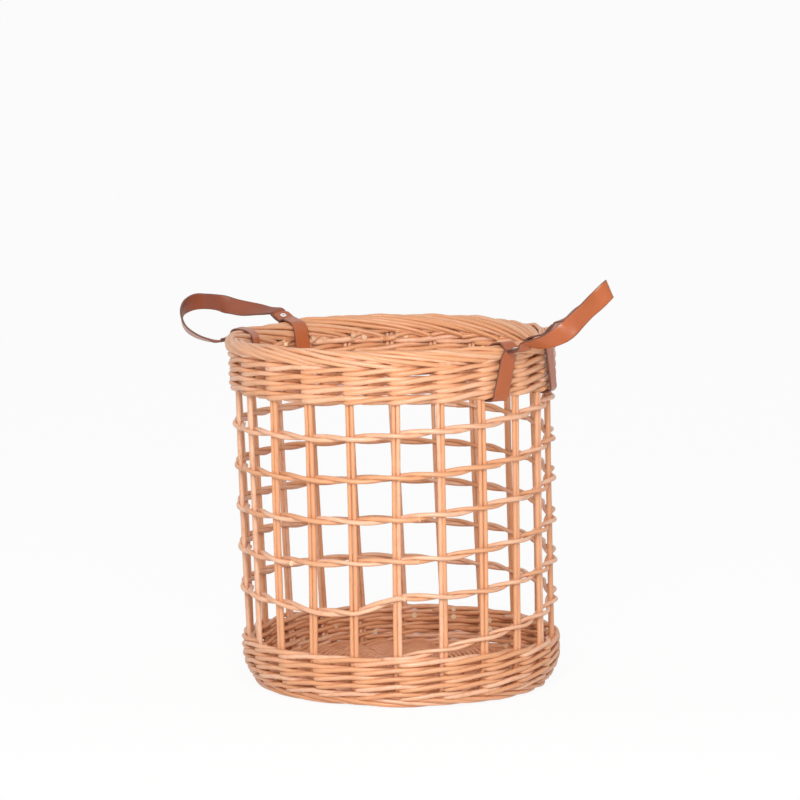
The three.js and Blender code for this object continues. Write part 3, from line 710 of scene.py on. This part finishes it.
def loop_stations(side, fixing):
    """From the strap's end over the border, down inside, under the band and up outside to the rivet."""
    centre, across, along, upper = lug(side, fixing)
    top_angle = atan2(centre.y, centre.x)
    stations = [(centre + along * reach + upper * LAYER_OFFSET, across)
                for reach in (STRAP_TAIL, *LUG_REACHES)]
    high = fixing["above"] / 1000
    low = STRAP_UNDER + fixing["under"] / 1000 - RIM_TOP
    ring = [(out / 1000, up / 1000) for out, up in fixing["over"]]
    ring += [(STRAP_INSIDE + out, high + up) for out, up in BEND_OVER]
    ring += [(STRAP_INSIDE + out, low + up) for out, up in BEND_UNDER_INSIDE]
    ring += [(STRAP_OUTSIDE + out, low + up) for out, up in BEND_UNDER_OUTSIDE]
    ring += [(STRAP_OUTSIDE, up) for up in (STRAP_SIDE, *(up / 1000 for up in fixing["outside"]))]
    for out, up in ring:
        share = max(min(up / low, 1), 0)
        angle = top_angle + radians(fixing["drift"]) * share
        stations.append((polar(angle, RIM_OUTSIDE + out, RIM_TOP + up), polar(angle + pi / 2, 1, 0)))
    stations += [(centre + along * reach - upper * LAYER_OFFSET, across) for reach in reversed(LUG_REACHES)]
    root = STRAP_TAIL + fixing["room"] / 1000
    stations += [(centre + along * (root + 0.001) - upper * LAYER_OFFSET * 0.4, across),
                 (centre + along * (root + 0.004), across)]
    return stations


def strap_stations(handle):
    """The whole strap, from its near end to its far end; the width keeps turning one way."""
    side = handle["side"]
    near = [(place, across * side) for place, across in loop_stations(side, handle["near"])]
    far = [(place, across * -side) for place, across in reversed(loop_stations(side, handle["far"]))]
    grip = [(by_the_rim(side, place), Vector((side * out, along, up)))
            for place, (out, along, up) in handle["grip"]]
    return near + grip + far


def strap_run(stations, longest):
    """A smooth run through unevenly spread stations, with short steps of even length between them."""
    first = tuple(b * 2 - a for a, b in zip(stations[1], stations[0]))
    last = tuple(b * 2 - a for a, b in zip(stations[-2], stations[-1]))
    guides = [first] + stations + [last]
    run = []
    for i in range(len(stations) - 1):
        a, b, c, d = guides[i:i + 4]
        before, within, after = (
            max((q[0] - p[0]).length, 1e-6) ** 0.5 for p, q in ((a, b), (b, c), (c, d)))
        steps = max(int((c[0] - b[0]).length / longest) + 1, 2)
        for step in range(steps + (i == len(stations) - 2)):
            t = step / steps
            mixed = []
            for p, q, r, u in zip(a, b, c, d):
                leave = ((q - p) / before - (r - p) / (before + within) + (r - q) / within) * within
                meet = ((r - q) / within - (u - q) / (within + after) + (u - r) / after) * within
                mixed.append(q + leave * t + (r * 3 - q * 3 - leave * 2 - meet) * t ** 2
                             + (q * 2 - r * 2 + leave + meet) * t ** 3)
            run.append(mixed)
    return run


def strap_section(column):
    """A place on the outline of the strap's section, across and up, which has rounded edges."""
    half, turn = divmod(column, STRAP_COLUMNS // 2)
    sign = 1 if half % 2 == 0 else -1
    reach = STRAP_HALF_WIDTH - STRAP_EDGE_ROUNDING
    if turn <= STRAP_FLAT_COLUMNS:
        return -sign * reach * (1 - 2 * turn / STRAP_FLAT_COLUMNS), sign * STRAP_HALF_THICKNESS
    corner = pi * (turn - STRAP_FLAT_COLUMNS) / STRAP_EDGE_COLUMNS
    return sign * (reach + STRAP_EDGE_ROUNDING * sin(corner)), sign * STRAP_HALF_THICKNESS * cos(corner)


def leather_finish(name, base, dark, bump_strength, roughness):
    """Smooth finished leather: fine pebbled grain, faint creases and rubbed patches."""
    material, nodes, links, shader = new_finish(name)
    place = nodes.new("ShaderNodeTexCoord")
    grain = nodes.new("ShaderNodeTexVoronoi")
    grain.inputs["Scale"].default_value = 1500
    creases = nodes.new("ShaderNodeTexNoise")
    creases.inputs["Scale"].default_value = 120
    creases.inputs["Detail"].default_value = 5
    rubbed = nodes.new("ShaderNodeTexNoise")
    rubbed.inputs["Scale"].default_value = 22
    for texture in (grain, creases, rubbed):
        links.new(place.outputs["Object"], texture.inputs["Vector"])
    tone = nodes.new("ShaderNodeMix")
    tone.data_type = "RGBA"
    tone.inputs[6].default_value = base
    tone.inputs[7].default_value = dark
    share = nodes.new("ShaderNodeMapRange")
    share.inputs[1].default_value = 0.35
    share.inputs[2].default_value = 0.75
    links.new(rubbed.outputs["Fac"], share.inputs[0])
    links.new(share.outputs[0], tone.inputs[0])
    links.new(tone.outputs[2], shader.inputs["Base Color"])
    height = nodes.new("ShaderNodeMath")
    height.operation = "MULTIPLY_ADD"
    height.inputs[1].default_value = 0.5
    links.new(grain.outputs["Distance"], height.inputs[0])
    links.new(creases.outputs["Fac"], height.inputs[2])
    bump = nodes.new("ShaderNodeBump")
    bump.inputs["Strength"].default_value = bump_strength
    bump.inputs["Distance"].default_value = 0.0003
    links.new(height.outputs[0], bump.inputs["Height"])
    links.new(bump.outputs["Normal"], shader.inputs["Normal"])
    rough = nodes.new("ShaderNodeMapRange")
    rough.inputs[3].default_value = roughness - 0.06
    rough.inputs[4].default_value = roughness + 0.1
    links.new(creases.outputs["Fac"], rough.inputs[0])
    links.new(rough.outputs[0], shader.inputs["Roughness"])
    return material


STRAP_FINISHES = [
    leather_finish("strap_grain_side", GRAIN_SIDE, GRAIN_DARK, 0.15, 0.3),
    leather_finish("strap_flesh_side", FLESH_SIDE, FLESH_DARK, 0.45, 0.5),
    # The edge finish is partly painted shade: its dark brown stands for shadow along the edges as well as
    # for the cut leather.
    leather_finish("strap_edge_and_shade", STRAP_EDGE_AND_SHADE, STRAP_EDGE_AND_SHADE_DARK, 0.3, 0.5),
]


def strap(hand):
    """One strap: a grid wrapped round the strap's outline and laid along its stations."""
    handle = HANDLES[hand]
    run = strap_run(strap_stations(handle), STRAP_STEP)
    bpy.ops.object.select_all(action="DESELECT")
    bpy.ops.mesh.primitive_grid_add(
        x_subdivisions=len(run) - 1, y_subdivisions=STRAP_COLUMNS, size=1, calc_uvs=True)
    piece = bpy.context.object
    piece.name = f"{hand}_strap"
    for material in STRAP_FINISHES:
        piece.data.materials.append(material)
    for polygon in piece.data.polygons:
        column = int((polygon.center.y + 0.5) * STRAP_COLUMNS)
        half, turn = divmod(column, STRAP_COLUMNS // 2)
        polygon.material_index = 2 if turn >= STRAP_FLAT_COLUMNS else half
    frames = []
    for i, (place, across) in enumerate(run):
        along = (run[min(i + 1, len(run) - 1)][0] - run[max(i - 1, 0)][0]).normalized()
        across = (across - along * across.dot(along)).normalized()
        frames.append((place, across, across.cross(along) * handle["side"]))
    for vertex in piece.data.vertices:
        i = round((vertex.co.x + 0.5) * (len(run) - 1))
        column = round((vertex.co.y + 0.5) * STRAP_COLUMNS)
        place, across, upward = frames[i]
        reach, rise = strap_section(column)
        if min(i, len(run) - i) < STRAP_TIP_STEPS:
            from_end = min((place - run[0][0]).length, (place - run[-1][0]).length)
            reach *= min(0.6 + 0.4 * from_end / STRAP_TIP, 1)
        vertex.co = leaned(place + across * reach + upward * rise)
    pick_only(piece)
    bpy.ops.object.mode_set(mode="EDIT")
    bpy.ops.mesh.select_all(action="SELECT")
    bpy.ops.mesh.remove_doubles(threshold=0.00001)
    bpy.ops.mesh.select_all(action="DESELECT")
    bpy.ops.mesh.select_non_manifold()
    bpy.ops.mesh.fill_holes(sides=0)
    bpy.ops.mesh.select_all(action="SELECT")
    bpy.ops.mesh.normals_make_consistent(inside=False)
    bpy.ops.object.mode_set(mode="OBJECT")
    for polygon in piece.data.polygons:
        if len(polygon.vertices) > 4:
            polygon.material_index = 2
    bpy.ops.object.shade_smooth_by_angle(angle=radians(50))
    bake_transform(piece)
    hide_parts(f"{hand}_near_strap_loop", f"{hand}_far_strap_loop", f"{hand}_grip_strap")


for hand, handle in HANDLES.items():
    near, far = lug(handle["side"], handle["near"])[0], lug(handle["side"], handle["far"])[0]
    hinge = (far - near).normalized()
    outward = hinge.cross(Vector((0, 0, 1))).normalized() * handle["side"]
    upward = outward.cross(hinge).normalized()
    upward = upward if upward.z > 0 else -upward
    middle = leaned((near + far) / 2)
    strap(hand)

# Rivets
# Nickel-plated tubular rivets hold each strap's end to the strap. The rolled head is a ring with a
# hole through it.
RIVET_PROFILE = [(0.0009, -0.0029), (0.0015, -0.0033), (0.0029, -0.0031), (0.0035, -0.00255),
                 (0.0034, -0.0023), (0.0020, -0.0023), (0.0020, 0.0023), (0.0034, 0.0023),
                 (0.0035, 0.00255), (0.0029, 0.0031), (0.0015, 0.0033), (0.0009, 0.0029)]
RIVET_STEPS = 28


def metal_finish():
    """Bright plated metal with fine scratches."""
    material, nodes, links, shader = new_finish("rivet_nickel")
    shader.inputs["Base Color"].default_value = (0.78, 0.77, 0.76, 1)
    shader.inputs["Metallic"].default_value = 1
    place = nodes.new("ShaderNodeTexCoord")
    scratches = nodes.new("ShaderNodeTexNoise")
    scratches.inputs["Scale"].default_value = 700
    rough = nodes.new("ShaderNodeMapRange")
    rough.inputs[3].default_value = 0.15
    rough.inputs[4].default_value = 0.38
    links.new(place.outputs["Object"], scratches.inputs["Vector"])
    links.new(scratches.outputs["Fac"], rough.inputs[0])
    links.new(rough.outputs[0], shader.inputs["Roughness"])
    return material


NICKEL = metal_finish()


def rivet(hand, end):
    """A tubular rivet spun from its profile, set square to the strap's layers."""
    centre, _, _, upper = lug(HANDLES[hand]["side"], HANDLES[hand][end])
    data = bpy.data.meshes.new(f"{hand}_{end}_tubular_rivet")
    count = len(RIVET_PROFILE)
    edges = [(i, (i + 1) % count) for i in range(count)]
    data.from_pydata([(radius, 0, height) for radius, height in RIVET_PROFILE], edges, [])
    piece = bpy.data.objects.new(data.name, data)
    bpy.context.collection.objects.link(piece)
    pick_only(piece)
    bpy.ops.object.mode_set(mode="EDIT")
    bpy.ops.mesh.select_all(action="SELECT")
    bpy.ops.mesh.spin(steps=RIVET_STEPS, angle=2 * pi, center=(0, 0, 0), axis=(0, 0, 1))
    bpy.ops.mesh.select_all(action="SELECT")
    bpy.ops.mesh.remove_doubles(threshold=0.00001)
    bpy.ops.mesh.normals_make_consistent(inside=False)
    bpy.ops.object.mode_set(mode="OBJECT")
    turn = Vector((0, 0, 1)).rotation_difference(upper).to_matrix()
    for vertex in data.vertices:
        vertex.co = leaned(turn @ vertex.co + centre)
    bpy.ops.object.shade_smooth_by_angle(angle=radians(40))
    data.materials.append(NICKEL)
    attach(piece, "basket")
    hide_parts(f"{hand}_{end}_rivet")


for hand in HANDLES:
    for end in ("near", "far"):
        rivet(hand, end)

# Studio
# The basket stands on a white floor under two soft panels. The camera stands where the photograph's
# did, about 4.4 m away, and looks slightly down.
FLOOR_WIDTH = 400
FLOOR_GLOW = 0.93
SKY_STRENGTH = 0.5
PANELS = {
    "key_panel": {"azimuth": 0, "elevation": 24, "distance": 2.3, "size": 1.0, "power": 39,
                  "colour": (1, 0.98, 0.96)},
    "fill_panel": {"azimuth": -80, "elevation": 35, "distance": 2.5, "size": 1.6, "power": 5,
                   "colour": (1, 0.97, 0.94)},
}
SENSOR_WIDTH = 36
PICTURE_WIDTH = 800
VIEW_ANGLE = radians(32.7)
CAMERA_DISTANCE = 4.4
CAMERA_HEIGHT = 0.852
CAMERA_PITCH = radians(7.03)
CAMERA_YAW = radians(0.02)
CAMERA_ROLL = radians(-0.2)
PIXEL_SCALE = 4080
TARGET = Vector((0, 0, 0.2))


def seen_rays(nodes, links):
    """One for a ray that comes from the camera, straight or by way of metal or glass, else nought."""
    ray = nodes.new("ShaderNodeLightPath")
    seen = ray.outputs["Is Camera Ray"]
    for kind in ("Is Glossy Ray", "Is Transmission Ray"):
        either = nodes.new("ShaderNodeMath")
        either.operation = "MAXIMUM"
        links.new(seen, either.inputs[0])
        links.new(ray.outputs[kind], either.inputs[1])
        seen = either.outputs[0]
    return seen


def floor_finish():
    """A white floor that keeps the object's soft shadow and reads as white to the camera."""
    material, nodes, links, shader = new_finish("studio_white")
    shader.inputs["Base Color"].default_value = (0.95, 0.95, 0.95, 1)
    shader.inputs["Roughness"].default_value = 0.9
    shader.inputs["Specular IOR Level"].default_value = 0
    glow = nodes.new("ShaderNodeEmission")
    glow.inputs["Strength"].default_value = 1
    share = nodes.new("ShaderNodeMath")
    share.operation = "MULTIPLY"
    share.inputs[1].default_value = FLOOR_GLOW
    mix = nodes.new("ShaderNodeMixShader")
    links.new(seen_rays(nodes, links), share.inputs[0])
    links.new(share.outputs[0], mix.inputs[0])
    links.new(shader.outputs[0], mix.inputs[1])
    links.new(glow.outputs[0], mix.inputs[2])
    links.new(mix.outputs[0], nodes["Material Output"].inputs["Surface"])
    return material


bpy.ops.object.select_all(action="DESELECT")
bpy.ops.mesh.primitive_plane_add(size=FLOOR_WIDTH, location=(0, 0, 0))
floor = bpy.context.object
floor.name = "studio_floor"
floor.data.materials.append(floor_finish())

world = bpy.data.worlds.new("studio_world")
bpy.context.scene.world = world
world.use_nodes = True
world_nodes, world_links = world.node_tree.nodes, world.node_tree.links
sky = world_nodes["Background"]
sky.inputs["Color"].default_value = (1, 1, 1, 1)
sky.inputs["Strength"].default_value = SKY_STRENGTH
white = world_nodes.new("ShaderNodeBackground")
white.inputs["Color"].default_value = (1, 1, 1, 1)
white.inputs["Strength"].default_value = 1
blend_white = world_nodes.new("ShaderNodeMixShader")
world_links.new(seen_rays(world_nodes, world_links), blend_white.inputs[0])
world_links.new(sky.outputs[0], blend_white.inputs[1])
world_links.new(white.outputs[0], blend_white.inputs[2])
world_links.new(blend_white.outputs[0], world_nodes["World Output"].inputs["Surface"])


def panel(name, azimuth, elevation, distance, size, power, colour):
    """A square soft light that faces the basket; its azimuth is counted from the camera's side."""
    turn = VIEW_ANGLE - pi / 2 + radians(azimuth)
    place = TARGET + polar(turn, distance * cos(radians(elevation)), distance * sin(radians(elevation)))
    light = bpy.data.lights.new(name, "AREA")
    light.size = size
    light.energy = power
    light.color = colour
    lamp = bpy.data.objects.new(name, light)
    bpy.context.collection.objects.link(lamp)
    lamp.location = place
    lamp.rotation_euler = (TARGET - place).to_track_quat("-Z", "Y").to_euler()


for name, values in PANELS.items():
    panel(name, **values)

camera_data = bpy.data.cameras.new("photo_camera")
camera = bpy.data.objects.new("photo_camera", camera_data)
bpy.context.collection.objects.link(camera)
camera_data.sensor_width = SENSOR_WIDTH
camera_data.lens = SENSOR_WIDTH * PIXEL_SCALE / PICTURE_WIDTH
camera.location = polar(VIEW_ANGLE - pi / 2, CAMERA_DISTANCE, CAMERA_HEIGHT)
level_turn = Euler((pi / 2 - CAMERA_PITCH, 0, VIEW_ANGLE + CAMERA_YAW)).to_quaternion()
camera.rotation_euler = (level_turn @ Quaternion((0, 0, 1), CAMERA_ROLL)).to_euler()
bpy.context.scene.camera = camera
bpy.context.scene.view_settings.view_transform = "Standard"
